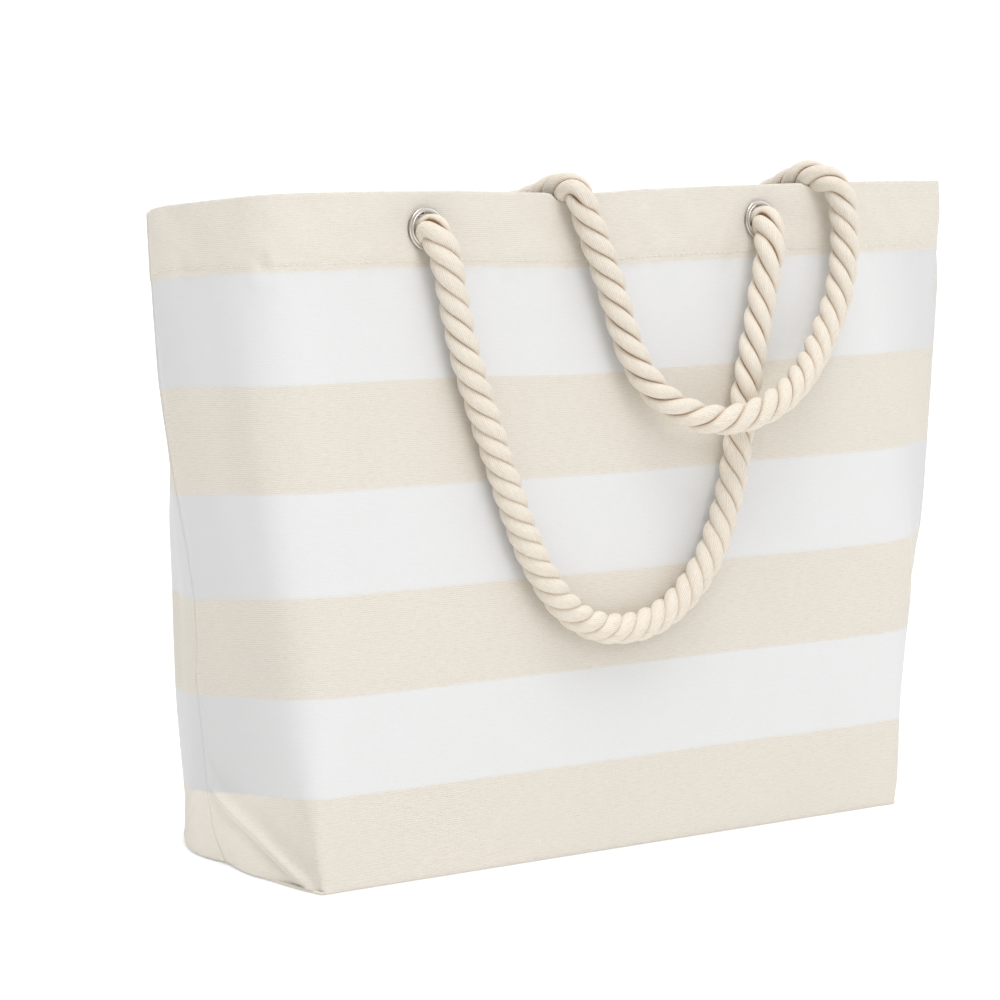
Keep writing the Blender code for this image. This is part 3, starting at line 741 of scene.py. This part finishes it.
def make_panel(name, side, material):
    columns, flap, walls, inner = panel_places(side)
    rim = rim_fold(side, columns)
    inner_points = cloth(side, *np.meshgrid(columns, inner), -CLOTH * 0.5)
    points = np.concatenate((base_flap(side, columns, flap), outer_layer(side, columns, walls),
                             rim, inner_points))
    up_cloth = np.concatenate((flap - HALF, walls, np.full(len(rim), HEIGHT), inner))
    u, v = np.meshgrid(columns, up_cloth)
    v = v + tuck(side, np.maximum(u, 0)) * (1 - np.clip(v, 0, HEIGHT) / HEIGHT)
    over_base = (columns[:-1] >= HALF - 1e-9) & (columns[1:] <= FAR + 1e-9)
    keep = np.ones((len(points) - 1, len(columns) - 1), bool)
    keep[:len(flap) + 1] = over_base
    middle_s, middle_v = (columns[:-1] + columns[1:]) / 2, (up_cloth[:-1] + up_cloth[1:]) / 2
    for place in side["eyelets"].values():
        keep &= np.hypot(*np.meshgrid(middle_s - place, middle_v - HEIGHT + EYELET_DROP)) > CUT_R
    faces = grid_faces(len(points), len(columns), keep, flip=side["outward"] < 0)
    flat_points, flat_uvs = points.reshape(-1, 3), np.stack((u, v), -1).reshape(-1, 2)
    used = np.unique(faces)
    remap = np.zeros(len(flat_points), int)
    remap[used] = np.arange(len(used))
    panel = new_mesh(name, flat_points[used], remap[faces], material, flat_uvs[used])
    thicken(panel, CLOTH)
    return panel


# ---- details


def strip(name, section_rows, material, thickness, along, across):
    """A strip from rows of points; along and across give the UVs, in metres."""
    rows, columns = len(section_rows), len(section_rows[0])
    u, v = np.meshgrid(across, along)
    obj = new_mesh(name, np.array(section_rows).reshape(-1, 3), grid_faces(rows, columns), material,
                   np.stack((v, u), -1).reshape(-1, 2))
    thicken(obj, thickness)
    return obj


def side_tape(name, left, material):
    """Binding folded over the two turned-in layers of a side seam."""
    outer = ((0.0016, 0.00125), (0.0050, 0.00125), (0.0086, 0.00125), (0.0097, 0.0009))
    section = (*outer, (0.0101, 0.0), *((d, -w) for d, w in reversed(outer)))
    rows, heights = [], np.arange(0.014, HEIGHT - 0.007, 0.004)
    for h in heights:
        t = np.array(h / HEIGHT)
        line = seam_line(left, t)
        inward = seam_inward(left, t)
        side_way = np.array((-inward[1], inward[0], 0.0))
        wave = 0.0004 * math.sin(h * 210) + 0.0003 * math.sin(h * 530 + 1)
        rows.append([line + inward * (d + wave) + side_way * w for d, w in section])
    widths = np.cumsum([0] + [math.dist(a, b) for a, b in zip(section, section[1:])])
    return strip(name, rows, material, 0.0004, heights, widths)


def corner_tape(name, left, material):
    """Binding on the seam across a boxed corner, inside and just above the base."""
    rows, run = [], []
    places = [(FRONT, v) for v in np.arange(0.078, 0.003, -0.004)]
    places += [(BACK, v) for v in np.arange(0.003, 0.076, 0.004)]
    for k, (side, place) in enumerate(places):
        s = place if left else WIDTH - place
        row = []
        for h in (0.0016, 0.004, 0.007, 0.0100, 0.0116):
            t = np.array(h / HEIGHT)
            inset = CLOTH / 2 + 0.0016 + 0.0002 * math.sin(k * 0.9 + h * 300)
            row.append(cloth(side, s, h) - outward_normal(side, np.array(s), t) * inset)
        rows.append(row)
        run.append(k * 0.004)
    return strip(name, rows, material, 0.0015, run, (0, 0.0025, 0.0055, 0.0085, 0.010))


def bottom_tape(name, material):
    """Binding on the seam along the middle of the base."""
    rows = []
    xs = np.arange(-BASE / 2 + 0.006, BASE / 2 - 0.006, 0.004)
    ys = metres(-60, -56, -30, 0, 30, 56, 60)
    crown = np.array(metres(11, 16, 19, 21, 19, 16, 11))
    for x in xs:
        lift = crown + 0.0001 * math.sin(x * 400)
        rows.append([np.array((x, y + 0.0003 * math.sin(x * 90), z)) + SHIFT
                     for y, z in zip(ys, lift)])
    return strip(name, rows, material, 0.0006, xs, ys)


def tube(points, radius, sides=6):
    """Points and faces of a closed tube with rounded ends."""
    points = np.asarray(points, float)
    tangent = unit(np.gradient(points, axis=0))
    guide = np.array((0.0, 0.0, 1.0)) if abs(tangent[0][2]) < 0.9 else np.array((1.0, 0.0, 0.0))
    first = unit(np.cross(tangent, guide))
    second = np.cross(tangent, first)
    angles = np.arange(sides) * 2 * math.pi / sides
    radius = np.broadcast_to(radius, len(points))
    ring = ring_ways(first, second, angles)
    out = (points[:, None] + ring * radius[:, None, None]).reshape(-1, 3)
    faces = ring_faces(len(points), sides)
    faces.append(tuple(range(sides))[::-1])
    faces.append(tuple((len(points) - 1) * sides + j for j in range(sides)))
    return out, faces


def join_parts(name, parts, material):
    points, faces, count = [], [], 0
    for part_points, part_faces in parts:
        points.append(part_points)
        faces += [tuple(v + count for v in f) for f in part_faces]
        count += len(part_points)
    return new_mesh(name, np.concatenate(points), faces, material)


def tuck(side, s):
    """Cloth that the boxed left corner draws under the base."""
    if side is BACK:
        return (TUCK + BACK_TUCK * smooth(s / 0.045)) * smooth((HALF + 0.12 - s) / 0.12)
    return TUCK * np.clip(1 - s / HALF, 0, 1) ** 1.2


def stitches(side, lift, pitch=0.0036, length=0.0027):
    """One row of hem stitches, each a short rounded thread lying in the cloth."""
    parts = []
    along = length * np.array((-0.5, -0.36, -0.12, 0.12, 0.36, 0.5))
    rise = np.array((-0.00030, 0.00006, 0.00016, 0.00016, 0.00006, -0.00030))
    for place in np.arange(0.004, WIDTH - 0.004, pitch):
        level = np.full(6, STITCH_AT + 0.00012 * math.sin(place * 900))
        line = cloth(side, place + along, level, lift + rise * (1 if lift > 0 else -1))
        parts.append(tube(line, np.array((0.6, 1, 1, 1, 1, 0.6)) * THREAD_R))
    return parts


def welt(left):
    """The lip of the boxed corner's seam, which shows beside the front corner."""
    line = []
    for place in np.arange(HALF + 0.001, 0.030, -0.0025):
        s = place if left else WIDTH - place
        normal = outward_normal(FRONT, np.array(s), np.array(0.002))
        line.append(wall(FRONT, s, 0.0) + normal * 0.0002 + np.array((0, 0, 0.0004)))
    size = np.full(len(line), 0.0009)
    size[:3] *= (0.5, 0.8, 0.95)
    size[-6:] *= (0.9, 0.8, 0.7, 0.55, 0.4, 0.2)
    return tube(np.array(line), size, 10)


def rim_frame(side, place):
    """Axes at an eyelet: origin on the cloth, Z out of the bag, Y up it."""
    t = 1 - EYELET_DROP / HEIGHT
    at = wall(side, place, t)
    along = wall(side, place, t + 0.003) - wall(side, place, t - 0.003)
    normal = outward_normal(side, np.array(place), np.array(t))
    up = unit(along - normal * (along @ normal))
    return at, np.cross(up, normal), up, normal


def lathe(name, profile, frame_axes, material, steps=72):
    at, right, up, normal = frame_axes
    points = []
    for k in range(steps):
        a = 2 * math.pi * k / steps
        around = right * math.cos(a) + up * math.sin(a)
        points += [at + around * r + normal * z for r, z in profile]
    # the last ring joins the first
    faces = np.array(ring_faces(steps + 1, len(profile))) % len(points)
    return new_mesh(name, points, faces[:, ::-1], material)


def rounded_profile(points):
    """Catmull-Rom through a closed profile."""
    p = np.array(points)
    n = len(p)
    return [tuple(v) for i in range(n)
            for v in catmull_rom(p[i - 1], p[i], p[(i + 1) % n], p[(i + 2) % n], 4)]


def eyelet_and_washer(label, axes, material):
    """Both are turned from profiles: distances from the middle, and out of the cloth."""
    flange = [(0.0110, 0.0009), (0.01102, 0.0012), (0.0108, 0.0015), (0.0103, 0.0015),
              (0.0098, 0.0013), (0.0094, 0.0013), (0.0091, 0.0015), (0.0088, 0.0014),
              (0.0087, 0.0009), (0.0087, -0.0012), (0.0088, -0.0024), (0.0093, -0.0028),
              (0.0097, -0.0025), (0.0093, -0.0021), (0.0092, -0.0010), (0.0092, 0.0008)]
    washer = [(0.0096, -0.0010), (0.0110, -0.0010), (0.01115, -0.0013), (0.0108, -0.0018),
              (0.0102, -0.0019), (0.0097, -0.0016)]
    eyelet = lathe(f"eyelet_{label}_metal", rounded_profile(flange), axes, material)
    ring = lathe(f"washer_{label}_metal", rounded_profile(washer), axes, material)
    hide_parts(f"eyelet_{label}")
    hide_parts(f"washer_{label}")


# ---- ropes


def smooth_route(points, step):
    """Points a step apart on a smooth (Catmull-Rom) curve through the route."""
    p = [np.array(q, float) for q in points]
    p = [2 * p[0] - p[1], *p, 2 * p[-1] - p[-2]]
    fine = []
    for four in zip(p, p[1:], p[2:], p[3:]):
        fine += catmull_rom(*four, 24)
    fine = np.array([*fine, p[-2]])
    lengths = run_of(fine)
    places = np.linspace(0, lengths[-1], max(2, round(lengths[-1] / step) + 1))
    return np.stack([np.interp(places, lengths, fine[:, k]) for k in range(3)], -1)


def soften(points, rounds):
    """Evens out a route's bends, its ends kept."""
    points = points.copy()
    for _ in range(rounds):
        points[1:-1] = 0.5 * points[1:-1] + 0.25 * (points[:-2] + points[2:])
    return points


def carried_frames(points):
    """Two normals at each point, carried along a line without twisting."""
    tangent = unit(np.gradient(points, axis=0))
    start = np.array((0.0, -1.0, 0.0))
    normal = unit(start - tangent[0] * (start @ tangent[0]))
    if np.linalg.norm(np.cross(start, tangent[0])) < 0.2:
        start = np.array((1.0, 0.0, 0.0))
        normal = unit(start - tangent[0] * (start @ tangent[0]))
    normals = []
    for t in tangent:
        normal = unit(normal - t * (normal @ t))
        normals.append(normal)
    normals = np.array(normals)
    return normals, np.cross(tangent, normals)


def rope(name, points, size, material, body="bag", turn=0.0, splay=0.0, sides=24,
         lay=((0, 1), (1, 1))):
    """Three strands laid round a line; size is the share of full thickness at each point.
    lay gives, at shares of the way along, how long a turn of the strands is against LAY."""
    n1, n2 = carried_frames(points)
    n, length = len(points), run_of(points)
    size = np.broadcast_to(size, n)
    spread_out = 1 + splay * smooth((length - length[-1] + 0.014) / 0.014)
    per_metre = 1 / (LAY * np.interp(length / length[-1], *zip(*lay)))
    turns = np.cumsum(np.diff(length) * (per_metre[1:] + per_metre[:-1]) / 2)
    turns = np.concatenate(([0], turns))
    rng = np.random.default_rng(n)
    verts, faces, uvs, groove = [], [], [], []
    angles = np.arange(sides) * 2 * math.pi / sides
    share = (angles + math.pi) % (2 * math.pi) - math.pi
    count = 0
    for k in range(3):
        theta = turn + 2 * math.pi * (k / 3 - turns)
        phase = rng.uniform(0, 6.28, 3)
        uneven = (1 + 0.018 * np.sin(length * 190 + phase[0])
                  + 0.014 * np.sin(length * 83 + phase[1]))
        radial = n1 * np.cos(theta)[:, None] + n2 * np.sin(theta)[:, None]
        middle = points + radial * (STRAND_PATH * size * spread_out)[:, None]
        way = unit(np.gradient(middle, axis=0))
        out = unit(radial - way * np.sum(radial * way, -1, keepdims=True))
        rings = ring_ways(out, np.cross(way, out), angles)
        lumps = 1 + 0.010 * np.sin(8 * angles[None, :] - length[:, None] * 130 + phase[2])
        rings = rings * (STRAND_R * size * uneven)[:, None, None] * lumps[..., None]
        verts.append((middle[:, None] + rings).reshape(-1, 3))
        faces += ring_faces(n, sides, count)
        # rounded ends
        for end, way_out in ((0, -1), (n - 1, 1)):
            verts.append((middle[end] + way[end] * way_out * STRAND_R * 0.35)[None])
            tip = count + n * sides + (way_out > 0)
            for j in range(sides):
                a, b = (count + end * sides + v for v in (j, (j + 1) % sides))
                faces.append((b, a, tip) if way_out < 0 else (a, b, tip))
        around = share[None, :] / (2 * math.pi) + 0.5 + 0.37 * k
        uv = np.stack(np.broadcast_arrays(around, length[:, None]), -1)
        uvs += [uv.reshape(-1, 2), np.array(((0.5, length[0]), (0.5, length[-1])))]
        groove += [np.broadcast_to(np.abs(share) / math.pi, (n, sides)).ravel(), (0.3, 0.3)]
        count += n * sides + 2
    verts, uvs = np.concatenate(verts), np.concatenate(uvs)
    obj = new_mesh(name, verts, faces, material, uvs, body)
    attribute = obj.data.attributes.new("groove", "FLOAT", "POINT")
    attribute.data.foreach_set("value", np.concatenate(groove).astype(np.float32))
    return obj


def world(points):
    return [np.array(p, float) + SHIFT for p in points]


def knot_route(axes, drop, drift):
    """A tight overhand knot behind an eyelet, and its tail hanging down inside."""
    at, right, up, normal = axes
    local = [*metres((0, 0, -20), (0, 0, -60), (35, 10, -105), (85, 5, -145), (80, -30, -205),
                     (10, -75, -215), (-70, -65, -185), (-90, 10, -140), (-45, 85, -115),
                     (35, 90, -130), (75, 30, -195), (35, -20, -250), (0, -50, -290)),
             (drift * 0.4, -0.0110, -0.0325), (drift, -drop * 0.8, -0.0350),
             (drift * 1.4, -drop - 0.004, -0.0360)]
    return [at + right * x + up * y + normal * z for x, y, z in local]


def knot(label, axes, drop, drift, material, replaced):
    points = soften(smooth_route(knot_route(axes, drop, drift), RING_STEP), 3)
    length = np.linspace(0, 1, len(points))
    size = 0.98 - 0.30 * smooth((length - 0.03) / 0.10) * smooth((0.80 - length) / 0.10)
    obj = rope(f"{label}_knot", points, size, material, splay=0.35, sides=20)
    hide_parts(replaced)
    return obj


def front_handle_rope(material):
    axes = {label: rim_frame(FRONT, place) for label, place in FRONT_EYELETS.items()}
    ends = {}
    for label, (at, right, up, normal) in axes.items():
        low = at - up * 0.0009 - right * (0.0007 if label == "right" else 0.0)
        ends[label] = [low - normal * 0.005, low + normal * 0.0015, low + normal * 0.0065]
    route = [*ends["left"], *world(FRONT_ROUTE), *reversed(ends["right"])]
    points = soften(smooth_route(route, RING_STEP), 4)
    # fuller where it bends down out of the eyelets
    run = np.linspace(0, line_length(points), len(points))
    size = np.interp(np.minimum(run, run[-1] - run),
                     (0, 0.008, 0.020, 0.045), (0.97, 1.0, 1.07, 1.0))
    obj = rope("front_handle_rope", points, size, material, body=None, turn=0.6, lay=FRONT_LAY)
    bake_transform(obj)
    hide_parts("front_handle")
    return obj, points, axes


def rear_handle_rope(material):
    axes = {label: rim_frame(BACK, place) for label, place in BACK_EYELETS.items()}
    route = {}
    for label, (at, _, _, normal) in axes.items():
        pivot = np.array((REAR_PIVOTS[label], REAR_AXIS[0], REAR_AXIS[1])) + SHIFT
        outside = [at + normal * 0.011, at + normal * 0.004, at - normal * 0.003]
        route[label] = [pivot, *world(REAR_LEAD[label]), *outside]
    line = [*reversed(route["left"]), *world(REAR_ROUTE), *route["right"]]
    points = soften(smooth_route(line, RING_STEP), 4)
    obj = rope("rear_handle_rope", points, 1.0, material, body=None, turn=2.0, lay=REAR_LAY)
    at = np.array((0.0, REAR_AXIS[0], REAR_AXIS[1])) + SHIFT
    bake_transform(obj)
    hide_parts("rear_handle")
    return obj, points, axes


def line_length(points):
    return float(steps_of(points).sum())


# ---- floor, light

SKY_DIM, SKY_BRIGHT = 0.36, 1.05  # the room's brightness in front and behind
KEY, TOP = 84.0, 1.8  # the two lamps


def add_stage():
    """A plain pale floor, softly lit through from below."""
    m = Nodes("floor")
    for key, value in (("Base Color", (0.72, 0.72, 0.72, 1.0)), ("Emission Strength", 0.34),
                       ("Emission Color", (1.0, 1.0, 1.0, 1.0)), ("Roughness", 0.9),
                       ("Specular IOR Level", 0.0)):
        m.shader.inputs[key].default_value = value
    corners = [(x * 40.0, y * 40.0, -0.0002) for x, y in ((-1, -1), (1, -1), (1, 1), (-1, 1))]
    floor = new_mesh("floor", corners, [(0, 1, 2, 3)], m.material, body=None)


def lamp(name, kind, energy, aim):
    data = bpy.data.lights.new(name, kind)
    data.energy = energy
    light = new_object(name, data)
    light.rotation_euler = aim.to_track_quat("-Z", "Y").to_euler()
    return data, light


def add_light():
    """A white room, dimmer in front of the bag than behind it, and two large soft lamps."""
    world_data = bpy.data.worlds.new("world")
    bpy.context.scene.world = world_data
    world_data.use_nodes = True
    tree = world_data.node_tree
    background = tree.nodes["Background"]
    background.inputs["Color"].default_value = (1.0, 1.0, 1.0, 1.0)
    way = tree.nodes.new("ShaderNodeTexCoord").outputs["Generated"]
    tilt = tree.nodes.new("ShaderNodeVectorMath")
    tilt.operation = "DOT_PRODUCT"
    tilt.inputs[1].default_value = (math.sin(AZIMUTH), math.cos(AZIMUTH), 0.25)
    tree.links.new(way, tilt.inputs[0])
    share = tree.nodes.new("ShaderNodeMapRange")
    share.interpolation_type = "SMOOTHSTEP"
    for key, value in (("From Min", -0.2), ("From Max", 0.9),
                       ("To Min", SKY_DIM), ("To Max", SKY_BRIGHT)):
        share.inputs[key].default_value = value
    tree.links.new(tilt.outputs["Value"], share.inputs["Value"])
    tree.links.new(share.outputs["Result"], background.inputs["Strength"])
    place = Vector((-1.0, -4.6, 3.6))
    data, light = lamp("key", "AREA", KEY, Vector((0, 0, 0.15)) - place)
    data.shape, data.size = "SQUARE", 3.0
    light.location = place
    data, _ = lamp("top", "SUN", TOP, Vector((0.12, 0.22, -1.0)))
    data.angle = math.radians(40)


bpy.context.scene.view_settings.view_transform = "Standard"


# ---- build


def main():
    canvas = canvas_material("canvas")
    plain = canvas_material("canvas_plain", banded=False)
    tape = tape_material("cotton_tape")
    metal = nickel_material("nickel")
    cotton = rope_material("cotton_rope")
    thread = thread_material("thread")

    # the ropes first; their tails hang a little to one side
    for label, made, drop, drift in (("front", front_handle_rope(cotton), 0.030, -0.003),
                                     ("rear", rear_handle_rope(cotton), 0.024, 0.003)):
        obj, points, axes = made
        knots = [knot(f"{label}_rope_{k}", axes[k], drop, d, cotton, f"{label}_rope_end_{k}")
                 for k, d in (("left", drift), ("right", -drift))]

    for name, side in (("front", FRONT), ("back", BACK)):
        panel = make_panel(f"{name}_canvas", side, canvas)
        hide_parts(f"{name}_panel")
        for label, place in side["eyelets"].items():
            eyelet_and_washer(f"{name}_{label}", rim_frame(side, place), metal)

    rows = []
    for side in (FRONT, BACK):
        rows += stitches(side, CLOTH + 0.0001) + stitches(side, -CLOTH - 0.0001)
    sewing = join_parts("hem_stitching", rows, thread)
    for left in (True, False):
        label = "left" if left else "right"
        lip = join_parts(f"{label}_corner_lip", [welt(left)], plain)
        tapes = (side_tape(f"{label}_seam_binding", left, tape),
                 corner_tape(f"{label}_corner_binding", left, tape))
        for obj, node in zip(tapes, (f"{label}_seam_tape", f"{label}_corner_tape")):
            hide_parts(node)
    under = bottom_tape("bottom_seam_binding", tape)
    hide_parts("bottom_seam_tape")

    add_stage()
    add_light()


main()
